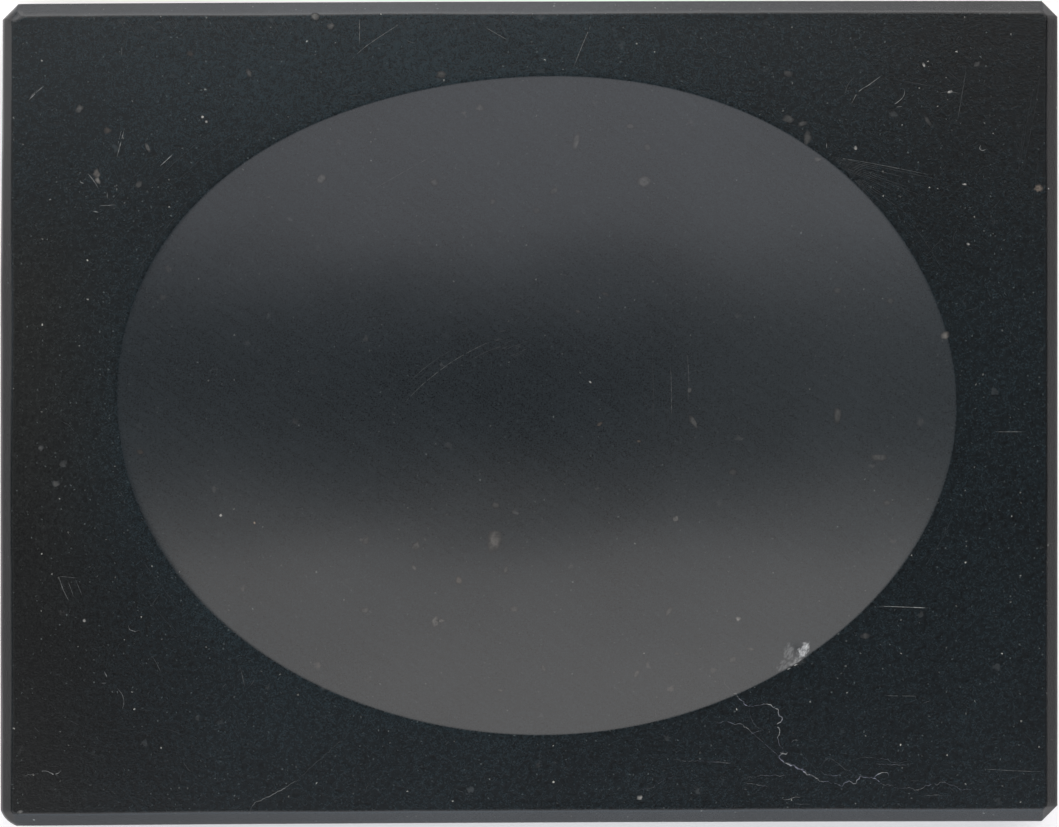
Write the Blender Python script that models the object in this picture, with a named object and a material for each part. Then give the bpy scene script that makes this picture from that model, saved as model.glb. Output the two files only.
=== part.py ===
"""Dished massage stone: one slab of dark basalt with a bevel round its top, clipped corners and a shallow
oval dish ground into its upper face.

The slab stands on its flat underside. The origin is the middle of that face, X runs along the slab, Y runs
across it towards the back, and Z is up. The stone is a single piece, so the model is a single solid.
"""

import math

import bmesh
import bpy
from mathutils import Matrix, Vector

# The slab, in metres.
SLAB_LENGTH = 0.1100
SLAB_WIDTH = 0.0859
SLAB_THICKNESS = 0.0180

# The bevel round the top face, and how far each corner is clipped along the two sides it joins.
TOP_BEVEL_WIDTH = 0.00135
TOP_BEVEL_DROP = 0.00135
CORNER_CLIP = 0.00165

# The narrow bevel that takes the sharpness off the underside's edges.
FOOT_BEVEL_WIDTH = 0.0008
FOOT_BEVEL_RISE = 0.0008

# The flat land left between the dish's rim and the top bevel, on each side. The dish isn't quite centred.
LAND_LEFT = 0.01085
LAND_RIGHT = 0.00940
LAND_FRONT = 0.00825
LAND_BACK = 0.00630
DISH_DEPTH = 0.0050

# How finely the dish is faceted: points round its rim, and rings from its middle to the rim.
RIM_STEPS = 96
DISH_RINGS = 14

# The dish's cutter goes on past the rim by this share of its radius, so that it crosses the top face cleanly.
CUTTER_OVERRUN = 0.08
WELD_DISTANCE = 1e-6

STONE_COLOUR = (0.022, 0.026, 0.030, 1.0)
STONE_ROUGHNESS = 0.42

HALF_LENGTH = SLAB_LENGTH / 2
HALF_WIDTH = SLAB_WIDTH / 2


def clear_scene():
    for old in list(bpy.data.objects):
        bpy.data.objects.remove(old)


def mesh_object(name, shape):
    """Turns a finished bmesh into an object of the scene."""
    mesh = bpy.data.meshes.new(name)
    shape.to_mesh(mesh)
    shape.free()
    made = bpy.data.objects.new(name, mesh)
    bpy.context.scene.collection.objects.link(made)
    return made


def grind_flat(slab, point, outward):
    """Takes away the stone beyond the plane through the point, and leaves a flat face there."""
    whole = slab.verts[:] + slab.edges[:] + slab.faces[:]
    cut = bmesh.ops.bisect_plane(
        slab, geom=whole, plane_co=point, plane_no=outward, dist=WELD_DISTANCE, clear_outer=True
    )
    rim = [part for part in cut["geom_cut"] if isinstance(part, bmesh.types.BMEdge)]
    bmesh.ops.edgeloop_fill(slab, edges=rim)


def sides():
    """The four sides: each one's outward direction, and how far from the origin it stands."""
    return (
        (Vector((1, 0, 0)), HALF_LENGTH),
        (Vector((-1, 0, 0)), HALF_LENGTH),
        (Vector((0, 1, 0)), HALF_WIDTH),
        (Vector((0, -1, 0)), HALF_WIDTH),
    )


def clipped_corners():
    """The four upright facets that clip the corners, in the same form as the sides."""
    reach = (HALF_LENGTH + HALF_WIDTH - CORNER_CLIP) / math.sqrt(2)
    return [(Vector((x, y, 0)).normalized(), reach) for x in (1, -1) for y in (1, -1)]


def grind_bevel(slab, outward, reach, width, height, level, up):
    """Grinds one bevel between the side at reach and the horizontal face at level. Up is 1 for the top face
    and -1 for the underside."""
    edge_of_face = outward * (reach - width) + Vector((0, 0, level))
    slope = outward * height + Vector((0, 0, up * width))
    grind_flat(slab, edge_of_face, slope.normalized())


def bevelled_slab():
    """The sawn block, with its corners clipped and its edges bevelled. Each corner's own bevel comes up to a
    point at the corner of the top face."""
    corner_bevel_width = (2 * TOP_BEVEL_WIDTH - CORNER_CLIP) / math.sqrt(2)
    slab = bmesh.new()
    bmesh.ops.create_cube(slab, size=1)
    bmesh.ops.scale(slab, vec=(SLAB_LENGTH, SLAB_WIDTH, SLAB_THICKNESS), verts=slab.verts)
    bmesh.ops.translate(slab, vec=(0, 0, SLAB_THICKNESS / 2), verts=slab.verts)
    for outward, reach in clipped_corners():
        grind_flat(slab, outward * reach, outward)
    for outward, reach in sides():
        grind_bevel(slab, outward, reach, TOP_BEVEL_WIDTH, TOP_BEVEL_DROP, SLAB_THICKNESS, 1)
        grind_bevel(slab, outward, reach, FOOT_BEVEL_WIDTH, FOOT_BEVEL_RISE, 0, -1)
    for outward, reach in clipped_corners():
        grind_bevel(slab, outward, reach, corner_bevel_width, TOP_BEVEL_DROP, SLAB_THICKNESS, 1)
        grind_bevel(slab, outward, reach, FOOT_BEVEL_WIDTH, FOOT_BEVEL_RISE, 0, -1)
    bmesh.ops.recalc_face_normals(slab, faces=slab.faces)
    return mesh_object("stone_slab", slab)


def dish_section():
    """Half of the dish's cross-section at unit radius: a parabola from its middle past its rim, and a lid back
    to the axis. The rim is at radius 1 and height 0."""
    shares = [ring / DISH_RINGS for ring in range(DISH_RINGS + 1)] + [1 + CUTTER_OVERRUN]
    curve = [(share, DISH_DEPTH * (share * share - 1)) for share in shares]
    return curve + [(0, curve[-1][1])]


def dish_cutter():
    """The stone that grinding takes away: the section turned round Z, then stretched to the oval of the rim."""
    left = -HALF_LENGTH + TOP_BEVEL_WIDTH + LAND_LEFT
    right = HALF_LENGTH - TOP_BEVEL_WIDTH - LAND_RIGHT
    front = -HALF_WIDTH + TOP_BEVEL_WIDTH + LAND_FRONT
    back = HALF_WIDTH - TOP_BEVEL_WIDTH - LAND_BACK

    bowl = bmesh.new()
    points = [bowl.verts.new((radius, 0, height)) for radius, height in dish_section()]
    edges = [bowl.edges.new(pair) for pair in zip(points, points[1:])]
    bmesh.ops.spin(
        bowl,
        geom=points + edges,
        cent=(0, 0, 0),
        axis=(0, 0, 1),
        angle=2 * math.pi,
        steps=RIM_STEPS,
        use_merge=True,
    )
    bmesh.ops.remove_doubles(bowl, verts=bowl.verts, dist=WELD_DISTANCE)
    bmesh.ops.scale(bowl, vec=((right - left) / 2, (back - front) / 2, 1), verts=bowl.verts)
    bmesh.ops.recalc_face_normals(bowl, faces=bowl.faces)
    place = Matrix.Translation(((left + right) / 2, (front + back) / 2, SLAB_THICKNESS))
    bmesh.ops.transform(bowl, matrix=place, verts=bowl.verts)
    cutter = mesh_object("dish_cutter", bowl)
    cutter.hide_render = True
    cutter.display_type = "WIRE"
    return cutter


def stone_material():
    """Dark grey basalt with a faint blue cast, rubbed to a dull sheen."""
    stone = bpy.data.materials.new("basalt")
    stone.use_nodes = True
    shader = stone.node_tree.nodes["Principled BSDF"]
    shader.inputs["Base Color"].default_value = STONE_COLOUR
    shader.inputs["Roughness"].default_value = STONE_ROUGHNESS
    shader.inputs["Metallic"].default_value = 0.0
    return stone


def build():
    clear_scene()
    slab = bevelled_slab()
    dish = slab.modifiers.new("dish", "BOOLEAN")
    dish.operation = "DIFFERENCE"
    dish.solver = "EXACT"
    dish.object = dish_cutter()
    slab.data.materials.append(stone_material())


build()
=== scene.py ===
import math
import random

import bmesh
import bpy
from mathutils import Matrix, Vector, noise
from mathutils.geometry import interpolate_bezier


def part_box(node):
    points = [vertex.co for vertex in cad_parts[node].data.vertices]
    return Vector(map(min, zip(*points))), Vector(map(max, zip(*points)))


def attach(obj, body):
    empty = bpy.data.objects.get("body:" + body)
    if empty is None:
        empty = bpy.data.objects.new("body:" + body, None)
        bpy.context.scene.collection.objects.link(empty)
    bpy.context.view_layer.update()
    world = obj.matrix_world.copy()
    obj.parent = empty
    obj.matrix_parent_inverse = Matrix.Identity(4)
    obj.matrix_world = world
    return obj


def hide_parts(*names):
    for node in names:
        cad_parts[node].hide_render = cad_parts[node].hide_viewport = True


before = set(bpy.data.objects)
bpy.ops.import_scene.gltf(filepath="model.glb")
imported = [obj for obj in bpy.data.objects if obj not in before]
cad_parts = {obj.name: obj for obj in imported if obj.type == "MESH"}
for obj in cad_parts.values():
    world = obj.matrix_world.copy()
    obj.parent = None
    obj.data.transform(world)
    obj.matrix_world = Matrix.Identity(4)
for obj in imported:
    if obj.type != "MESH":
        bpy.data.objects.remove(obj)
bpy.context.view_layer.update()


# The stone slab. It is one block of dark basalt, sawn a little out of square, rubbed flat on top, bevelled
# along its edges and clipped at its corners by hand. The shallow oval dish is ground into its top.
# Lengths are in millimetres here, and are turned into metres as the mesh is placed.
MM = 0.001
slab_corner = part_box("stone_slab")[1] / MM
HALF_LENGTH = slab_corner.x
HALF_WIDTH = slab_corner.y
THICKNESS = slab_corner.z

# The land lies this far below the full height, so that the marks laid on it stay within the slab's box.
TOP_SKIM = 0.03
LAND_HEIGHT = THICKNESS - TOP_SKIM
LAND_WANDER = 0.010

# The edge: its bevels, the small clip of the land's own corners, and the facet worn along the bevel's foot.
BEVEL_WIDTH = 1.33
BEVEL_WANDER = 0.13
BEVEL_NICKS = 0.03
CORNER_CLIP = 1.65
TOP_CORNER_CLIP = 0.30
FOOT_BEVEL = 0.80
FOOT_WANDER = 0.1
FACET_WIDTH = 0.07
LEFT_FACET_WIDTH = 0.20
FACET_STEEPNESS = 1.9
ARRIS_RADIUS = 0.05
EDGE_MARGIN = 0.35
LEFT_SIDE_LEAN = 0.20
CORNER_BULGE = 0.75
CORNER_WEAR_X = 0.75
CORNER_WEAR_Y = 0.30

# The dish, the wear of its rim, which is heaviest at one side, and a small chip out of the rim.
DISH_X = 0.73
DISH_Y = 0.99
DISH_HALF_LENGTH = 43.55
DISH_HALF_WIDTH = 34.30
DISH_DEPTH = 5.0
DISH_WANDER = 0.05
RIM_WEAR = 0.030
WORN_SIDE_WEAR = 0.045
WORN_SIDE_TURN = 203
CHIP_X = 27.9
CHIP_Y = -25.1
CHIP_DEPTH = 0.12
CHIP_SPREAD = 0.8

# The rim's unevenness is a sum of waves. Each has how many times it goes round the rim, its height as a share
# of the dish's radius, and the angle where it starts.
RIM_WAVES = ((1, 0.0027, -47), (2, 0.0015, -17), (3, 0.0058, -117), (4, 0.0048, 134), (5, 0.0033, 35))
RIM_SHARE = 1.001

# The mesh's rings run from the dish's centre outwards. They crowd together at the rim, where their distances
# from it are given, and go on over the land, the edge and the underside.
DISH_RINGS = 58
RIM_SHELF = 0.60
RIM_OFFSETS = (-0.36, -0.20, -0.10, -0.04, 0, 0.04, 0.10, 0.20, 0.36, RIM_SHELF)
LAND_RINGS = 14
EDGE_RINGS = (1, 0, 0, 4, 0, 0, 0, 0, 0, 9, 0, 0, 2, 0, 0, 1)
UNDERSIDE_SHARES = (0.86, 0.72, 0.58, 0.44, 0.30, 0.16, 0.05)


def back_edge(x):
    """How far back the slab's back edge lies at x. The saw wandered by a third of a millimetre."""
    along = x / HALF_LENGTH
    return HALF_WIDTH - 0.06 + 0.155 * along - 0.105 * along * along


def front_edge(x):
    """How far forward the slab's front edge lies at x."""
    along = x / HALF_LENGTH
    return -HALF_WIDTH + 0.36 + 0.25 * along - 0.10 * along * along


def ripple(x, y, span, layer):
    """A smooth unevenness between about -1 and 1, in swells about span wide. Each layer has its own."""
    return noise.noise(Vector((x / span, y / span, layer)))


def smooth(value, start, end):
    """Goes smoothly from 0 to 1 as the value goes from start to end."""
    share = min(1.0, max(0.0, (value - start) / (end - start)))
    return share * share * (3 - 2 * share)


def rim_share(turn):
    """The rim's distance from the dish's centre, as a share of a true oval's."""
    uneven = sum(height * math.cos(times * turn + math.radians(start)) for times, height, start in RIM_WAVES)
    return RIM_SHARE + uneven


def dish_place(x, y):
    """Where a point lies in the dish: its direction from the centre, and its share of the way to the rim."""
    along = (x - DISH_X) / DISH_HALF_LENGTH
    back = (y - DISH_Y) / DISH_HALF_WIDTH
    turn = math.atan2(back, along)
    return turn, math.hypot(along, back) / rim_share(turn)


def top_height(x, y):
    """The height of the top at x, y: the land, the dish, and the worn arris that joins them."""
    turn, share = dish_place(x, y)
    depth = DISH_DEPTH * (1 - share * share)
    wear = RIM_WEAR + WORN_SIDE_WEAR * max(0.0, math.cos(turn - math.radians(WORN_SIDE_TURN))) ** 3
    worn = (depth + math.sqrt(depth * depth + wear * wear)) / 2
    inside = min(1.0, max(0.0, depth / 1.5))
    wander = noise.noise(Vector((x / 15, y / 11, 4.0))) * DISH_WANDER * inside
    land = ripple(x, y, 26, 9.0) * LAND_WANDER
    chip = CHIP_DEPTH * math.exp(-((x - CHIP_X) ** 2 + (y - CHIP_Y) ** 2) / CHIP_SPREAD)
    return LAND_HEIGHT - worn + wander + land - chip


# Each station is one column of the mesh. It is a share of the way along one of the outline's eight runs,
# which go anticlockwise from the front of the right side: four sides, and a clipped corner after each.
SHORT_STEPS = 150
LONG_STEPS = 192
CLIP_STEPS = 9
BACK_RUN = 2
FRONT_LEFT_CORNER_RUN = 5
FRONT_RUN = 6
run_steps = (SHORT_STEPS, CLIP_STEPS, LONG_STEPS, CLIP_STEPS) * 2
stations = [(run, step / steps) for run, steps in enumerate(run_steps) for step in range(steps)]


def outline_point(station, inset, clip, worn=0.0):
    """The point of the outline at a station, with its sides drawn in by inset and its corners clipped by
    clip. The left side leans in near the back, the front left corner is rounded, and the land's back left
    corner is worn by a share worn of its full wear."""
    run, share = station
    right = HALF_LENGTH - inset
    left = inset - HALF_LENGTH
    corners = (
        (right, front_edge(right) + inset + clip),
        (right, back_edge(right) - inset - clip),
        (right - clip, back_edge(right - clip) - inset),
        (left + clip + CORNER_WEAR_X * worn, back_edge(left + clip) - inset),
        (left, back_edge(left) - inset - clip - CORNER_WEAR_Y * worn),
        (left, front_edge(left) + inset + clip),
        (left + clip, front_edge(left + clip) + inset),
        (right - clip, front_edge(right - clip) + inset),
    )
    start = corners[run]
    end = corners[(run + 1) % 8]
    x = start[0] + (end[0] - start[0]) * share
    y = start[1] + (end[1] - start[1]) * share
    x += LEFT_SIDE_LEAN * smooth(y, 10, 38) * smooth(-x, 48, 53) * max(0.0, 1 - inset / BEVEL_WIDTH)
    if run == BACK_RUN:
        y = back_edge(x) - inset
    if run == FRONT_RUN:
        y = front_edge(x) + inset
    if run == FRONT_LEFT_CORNER_RUN:
        bulge = CORNER_BULGE * share * (1 - share) * clip / CORNER_CLIP
        x -= bulge
        y -= bulge
    return x, y


def rounded(points, radius):
    """The section's points with each inner corner replaced by three that round it."""
    made = [points[0]]
    for before, corner, after in zip(points, points[1:], points[2:]):
        start = corner + (before - corner).normalized() * radius
        end = corner + (after - corner).normalized() * radius
        made += [start, (start + 2 * corner + end) / 4, end]
    return made + [points[-1]]


def filled(points, counts):
    """The section's points with more between them: counts holds how many go into each gap."""
    made = []
    for first, last, count in zip(points, points[1:], counts):
        made += [first.lerp(last, step / (count + 1)) for step in range(count + 1)]
    return made + [points[-1]]


def edge_section(station):
    """The bevel's width at a station, and the slab's edge there, from the land down to the underside, as
    insets and heights. The bevel's width varies as a hand-ground one does, and a narrow steeper facet is worn
    along its lower arris."""
    x, y = outline_point(station, 0, CORNER_CLIP)
    width = BEVEL_WIDTH + BEVEL_WANDER * ripple(x, y, 19, 1.0)
    width += BEVEL_NICKS * ripple(x, y, 3, 2.0)
    at_left = min(1.0, max(0.0, (-x - HALF_LENGTH + 2.5) / 1.2))
    facet = FACET_WIDTH + LEFT_FACET_WIDTH * at_left * (0.75 + 0.5 * ripple(x, y, 9, 5.0))
    shoulder = LAND_HEIGHT - (width - facet)
    foot = FOOT_BEVEL + FOOT_WANDER * ripple(x, y, 12, 7.0)
    corners = [
        Vector((width + EDGE_MARGIN, LAND_HEIGHT)),
        Vector((width, LAND_HEIGHT)),
        Vector((facet, shoulder)),
        Vector((0, shoulder - FACET_STEEPNESS * facet)),
        Vector((0, foot)),
        Vector((foot, 0)),
        Vector((foot + EDGE_MARGIN, 0)),
    ]
    return width, filled(rounded(corners, ARRIS_RADIUS), EDGE_RINGS)


# A corner's clip narrows by this share of the foot bevel's inset, so that the bevel keeps its width there.
CLIP_LOSS = 0.586


def column(station):
    """All the points at one station, from beside the dish's centre, over the edge, to the underside."""
    width, section = edge_section(station)
    edge_x, edge_y = outline_point(station, width, TOP_CORNER_CLIP)
    turn, _ = dish_place(edge_x, edge_y)
    reach = rim_share(turn)
    rim_x = DISH_X + DISH_HALF_LENGTH * reach * math.cos(turn)
    rim_y = DISH_Y + DISH_HALF_WIDTH * reach * math.sin(turn)
    outward = Vector((rim_x - DISH_X, rim_y - DISH_Y))
    radius = outward.length
    shares = [ring / DISH_RINGS * (1 - RIM_SHELF / radius) for ring in range(1, DISH_RINGS + 1)]
    shares += [1 + offset / radius for offset in RIM_OFFSETS]
    points = [(DISH_X + outward.x * share, DISH_Y + outward.y * share) for share in shares]
    land_start = Vector(points[-1])
    inset, _ = section[0]
    land_end = Vector(outline_point(station, inset, TOP_CORNER_CLIP, 1.0))
    points += [tuple(land_start.lerp(land_end, step / (LAND_RINGS + 1))) for step in range(1, LAND_RINGS + 1)]
    made = [Vector((x, y, top_height(x, y))) for x, y in points]
    for inset, height in section:
        level = min(1.0, max(0.0, (width - inset) / width))
        clip = TOP_CORNER_CLIP + (CORNER_CLIP - TOP_CORNER_CLIP) * level
        if height < THICKNESS / 2:
            clip = CORNER_CLIP - CLIP_LOSS * inset
        x, y = outline_point(station, inset, clip, max(0.0, 1 - 2 * level))
        made.append(Vector((x, y, height)))
    foot_x, foot_y = made[-1].xy
    made += [Vector((foot_x * share, foot_y * share, 0)) for share in UNDERSIDE_SHARES]
    return made


def spot(x, y, middle, reach):
    """A soft spot: 1 at its middle, fading out over its reach along x and along y."""
    return math.exp(-((x - middle[0]) / reach[0]) ** 2 - ((y - middle[1]) / reach[1]) ** 2)


def tone_and_painted_light(x, y):
    """How pale the stone is at x, y: its own random tone, with painted light and shade added. It is painted
    paler along the back and darker at the left front and in the far right corner, as painted reflection. A
    soft border at the dish's front left is painted paler as painted sheen, and the bevels of the two ends are
    painted darker as painted shade."""
    turn, share = dish_place(x, y)
    # Painted reflection: paler along the back, darker at the left front and in the far right corner.
    back = 0.95 * smooth(y, 14, 38) * math.exp(-((x + 12) / 32) ** 2)
    painted_dim_reflection_front = 0.62 * spot(x, y, (-50, -28), (16, 20))
    painted_dim_reflection_corner = 0.52 * spot(x, y, (50, 36), (14, 14))
    # Painted sheen: a paler border beside the dish's front left rim.
    away = max(0.0, share - 1) * DISH_HALF_WIDTH
    painted_sheen_border = 0.75 * math.exp(-away / 2.4) * max(0.0, math.cos(turn - math.radians(215))) ** 2
    # Painted shade: the bevels of the two ends, and the sides past them, are painted much darker.
    land_end = HALF_LENGTH - BEVEL_WIDTH
    ends = 0.86 * smooth(abs(x), land_end - 0.1, land_end + 0.1)
    cloud = 0.18 * ripple(x, y, 9, 3.0) + 0.10 * ripple(x, y, 3, 6.0)
    return (1.0 + back - painted_dim_reflection_front - painted_dim_reflection_corner + painted_sheen_border + cloud) * (1 - ends)


def finished(shape, name):
    """Makes a bmesh into an object of the scene."""
    mesh = bpy.data.meshes.new(name)
    shape.to_mesh(mesh)
    shape.free()
    made = bpy.data.objects.new(name, mesh)
    bpy.context.scene.collection.objects.link(made)
    return made


# The dish's finish runs to just past the rim. The bevel's runs between these points of the edge's section,
# from its upper arris to the facet worn along its foot.
LAST_DISH_OFFSET = 0.04
BEVEL_START = 3
BEVEL_END = 11
columns = [column(station) for station in stations]
ring_count = len(columns[0])
last_dish_ring = DISH_RINGS + RIM_OFFSETS.index(LAST_DISH_OFFSET)
edge_ring = DISH_RINGS + len(RIM_OFFSETS) + LAND_RINGS

# The mesh starts as a flat grid, one row for each station and one column for each ring. Its points then go to
# their places on the slab, which closes the grid round its seam and at its two poles.
stone = bmesh.new()
bmesh.ops.create_grid(stone, x_segments=ring_count + 1, y_segments=len(stations), size=1)
in_dish = stone.verts.layers.float.new("in_dish")
on_bevel = stone.verts.layers.float.new("on_bevel")
on_side = stone.verts.layers.float.new("on_side")
tone_and_painted_light_layer = stone.verts.layers.float.new("tone_and_painted_light")
for vertex in stone.verts:
    ring = round((vertex.co.x + 1) / 2 * (ring_count + 1)) - 1
    which = round((vertex.co.y + 1) / 2 * len(stations)) % len(stations)
    vertex[in_dish] = 1.0 if ring <= last_dish_ring else 0.0
    vertex[on_bevel] = 1.0 if BEVEL_START <= ring - edge_ring <= BEVEL_END else 0.0
    vertex[on_side] = 1.0 if ring - edge_ring > BEVEL_END else 0.0
    if ring < 0:
        vertex.co = Vector((DISH_X, DISH_Y, top_height(DISH_X, DISH_Y))) * MM
    elif ring >= ring_count:
        vertex.co = Vector((0, 0, 0))
    else:
        vertex.co = columns[which][ring] * MM
    # The paleness kept at each point holds painted reflection, painted sheen and painted shade besides the
    # stone's own tone.
    vertex[tone_and_painted_light_layer] = tone_and_painted_light(vertex.co.x / MM, vertex.co.y / MM)
bmesh.ops.remove_doubles(stone, verts=stone.verts, dist=0.001 * MM)
bmesh.ops.recalc_face_normals(stone, faces=stone.faces)
for face in stone.faces:
    face.smooth = True
slab = finished(stone, "basalt_slab")


class Wire:
    """One value in a finish's nodes. Sums and products of wires add Math nodes."""

    def __init__(self, finish, socket):
        self.finish = finish
        self.socket = socket

    def __add__(self, other):
        return self.finish.maths("ADD", self, other)

    def __radd__(self, other):
        return self.finish.maths("ADD", other, self)

    def __sub__(self, other):
        return self.finish.maths("SUBTRACT", self, other)

    def __rsub__(self, other):
        return self.finish.maths("SUBTRACT", other, self)

    def __mul__(self, other):
        return self.finish.maths("MULTIPLY", self, other)

    def __rmul__(self, other):
        return self.finish.maths("MULTIPLY", other, self)


class Finish:
    """A material, and the few ways its nodes are made. Its patterns are measured in millimetres."""

    def __init__(self, name, roughness):
        self.material = bpy.data.materials.new(name)
        self.material.use_nodes = True
        self.tree = self.material.node_tree
        self.shader = self.tree.nodes["Principled BSDF"]
        self.shader.inputs["Roughness"].default_value = roughness
        place = self.node("ShaderNodeTexCoord", output="Object")
        self.place = self.node("ShaderNodeMapping", {}, {"Vector": place, "Scale": (1 / MM, 1 / MM, 1 / MM)})

    def feed(self, socket, value):
        """Links a wire to a socket, or sets the socket's own value."""
        if isinstance(value, Wire):
            self.tree.links.new(value.socket, socket)
        else:
            socket.default_value = value

    def node(self, kind, settings=None, inputs=None, output=0):
        """Adds a node and gives its output as a wire, or several wires for several outputs."""
        made = self.tree.nodes.new(kind)
        for name, value in (settings or {}).items():
            setattr(made, name, value)
        for name, value in (inputs or {}).items():
            self.feed(made.inputs[name], value)
        if isinstance(output, tuple):
            return [Wire(self, made.outputs[each]) for each in output]
        return Wire(self, made.outputs[output])

    def maths(self, operation, *values):
        """Arithmetic on wires and numbers, of which at least one is a wire."""
        return self.node("ShaderNodeMath", {"operation": operation}, dict(enumerate(values)))

    def step(self, value, start, end, low=0.0, high=1.0):
        """A smooth change from low to high as the value goes from start to end."""
        inputs = {0: value, 1: start, 2: end, 3: low, 4: high}
        return self.node("ShaderNodeMapRange", {"interpolation_type": "SMOOTHSTEP"}, inputs)

    def colour(self, share, first, second):
        """The first colour, turning into the second as share goes from 0 to 1."""
        inputs = {0: share, 6: first, 7: second}
        return self.node("ShaderNodeMix", {"data_type": "RGBA"}, inputs, 2)

    def turned(self, angle, scale):
        """The piece's millimetres turned round Z and then stretched."""
        rotation = (0, 0, math.radians(angle))
        turned = self.node("ShaderNodeMapping", {}, {"Vector": self.place, "Rotation": rotation})
        return self.node("ShaderNodeMapping", {}, {"Vector": turned, "Scale": scale})

    def grain(self, scale, detail=2.0, roughness=0.5, place=None):
        """A fine unevenness from 0 to 1, with about scale swells to a millimetre."""
        inputs = {"Vector": place or self.place, "Scale": scale, "Detail": detail, "Roughness": roughness}
        return self.node("ShaderNodeTexNoise", {}, inputs)

    def attribute(self, name):
        """A value that the mesh carries at its points."""
        return self.node("ShaderNodeAttribute", {"attribute_name": name}, {}, "Fac")

    def paint(self, name, value):
        """Gives the shader's named socket a value."""
        self.feed(self.shader.inputs[name], value)

    def raise_by(self, height):
        """Bump from a height in millimetres."""
        bump = {"Strength": 1.0, "Distance": MM, "Height": height}
        self.paint("Normal", self.node("ShaderNodeBump", {}, bump))


# Basalt: near-black ground with a blue-green cast, finely grained, browner towards the left end, a little
# smoother and paler where the dish was rubbed, and sown with pale mineral grains.
LAND_COLOUR = (0.0046, 0.0088, 0.0110, 1)
BROWN_END_COLOUR = (0.0062, 0.0073, 0.0070, 1)
DISH_COLOUR = (0.0146, 0.0196, 0.0228, 1)
BEVEL_COLOUR = (0.0140, 0.0176, 0.0212, 1)
SIDE_COLOUR = (0.0180, 0.0205, 0.0225, 1)
BRUISE_COLOUR = (0.62, 0.65, 0.66, 1)
POLISH_ROUGHNESS = 0.17
basalt = Finish("basalt_rubbed", POLISH_ROUGHNESS)
dish_mask = basalt.attribute("in_dish")
bevel_mask = basalt.attribute("on_bevel")
side_mask = basalt.attribute("on_side")
# This attribute carries painted reflection, painted sheen and painted shade besides the stone's own tone.
painted_light_and_tone = basalt.attribute("tone_and_painted_light")
fine = basalt.grain(6.2, 3.0, 0.7) - 0.5
coarse = basalt.grain(1.5, 3.0, 0.6) - 0.5
cloud = basalt.grain(0.10, 3.0, 0.5) - 0.5
rubbing = basalt.grain(1.0, 3.0, 0.6, basalt.turned(35, (0.12, 2.6, 1.0))) - 0.5
saw_marks = basalt.grain(1.0, 3.0, 0.6, basalt.turned(0, (0.06, 0.06, 2.2))) - 0.5

# The stone's plain colour differs between the land, its brown left end, the dish, the bevels and the sides.
stone_x, stone_y = basalt.node("ShaderNodeSeparateXYZ", {}, {0: basalt.place}, (0, 1))
brown_end = basalt.step(stone_x, -40, -53) * basalt.step(stone_y, 26, 12)
plain = basalt.colour(brown_end, LAND_COLOUR, BROWN_END_COLOUR)
plain = basalt.colour(dish_mask, plain, DISH_COLOUR)
plain = basalt.colour(bevel_mask, plain, BEVEL_COLOUR)
plain = basalt.colour(side_mask, plain, SIDE_COLOUR)
outside_dish = 1 - dish_mask
land_mask = outside_dish * (1 - bevel_mask) * (1 - side_mask)
lightness = 1 + fine * (1.1 + dish_mask * 1.3) + coarse * (0.4 + land_mask * 0.8) + cloud * 0.5
lightness = lightness + rubbing * dish_mask * 0.5 + saw_marks * side_mask * 0.9
# Outside the dish the colour is scaled by that attribute, which paints light and shade into the land, bevels
# and sides.
lightness = lightness * (dish_mask + outside_dish * painted_light_and_tone) + (fine * 5.0 + coarse * 1.0) * land_mask
lightness = basalt.maths("MAXIMUM", lightness, 0.1)
ground = basalt.node("ShaderNodeVectorMath", {"operation": "SCALE"}, {0: plain, "Scale": lightness})


def ragged(scale, reach):
    """The stone's millimetres, stirred so that a round shape gets a ragged outline."""
    swells = {"Vector": basalt.place, "Scale": scale, "Detail": 2.0}
    stir = basalt.node("ShaderNodeTexNoise", {}, swells, "Color")
    spread = {0: stir, 1: (2 * reach, 2 * reach, 0), 2: (-reach, -reach, 0)}
    shift = basalt.node("ShaderNodeVectorMath", {"operation": "MULTIPLY_ADD"}, spread)
    return basalt.node("ShaderNodeVectorMath", {"operation": "ADD"}, {0: basalt.place, 1: shift})


fine_ragged = ragged(6.0, 0.16)
broad_ragged = ragged(1.8, 0.55)


def grains(spacing, size, share, start, place):
    """Mineral grains cut by the surface: one in each cell of that spacing, kept in a share of the cells.
    Gives how strongly each shows, and a number of its own for its tint. Start shifts the cells, so that no
    two kinds of grain share them."""
    shift = (start, 0.7 * start, 0.3 * start)
    moved = basalt.node("ShaderNodeMapping", {}, {"Vector": place, "Location": shift})
    cell = {"Vector": moved, "Scale": 1 / spacing, "Randomness": 1.0}
    near, code = basalt.node("ShaderNodeTexVoronoi", {}, cell, ("Distance", "Color"))
    pick, strength, tint = basalt.node("ShaderNodeSeparateColor", {}, {0: code}, (0, 1, 2))
    kept = basalt.step(pick, 1 - share - 0.01, 1 - share + 0.01)
    shown = kept * basalt.step(near, size / spacing, size / spacing * 0.4)
    return shown * (0.12 + 0.88 * strength * strength), tint


def patch(x, y, length, width, angle, strength):
    """A pale patch in the stone with a ragged outline."""
    inputs = {
        "Vector": broad_ragged,
        "Location": (x, y, THICKNESS - DISH_DEPTH / 2),
        "Rotation": (0, 0, math.radians(angle)),
        "Scale": (length, width, DISH_DEPTH),
    }
    inside = basalt.node("ShaderNodeMapping", {"vector_type": "TEXTURE"}, inputs)
    away = basalt.node("ShaderNodeVectorMath", {"operation": "LENGTH"}, {0: inside}, "Value")
    return basalt.step(away, 1.1, 0.6, 0.0, strength)


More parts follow.
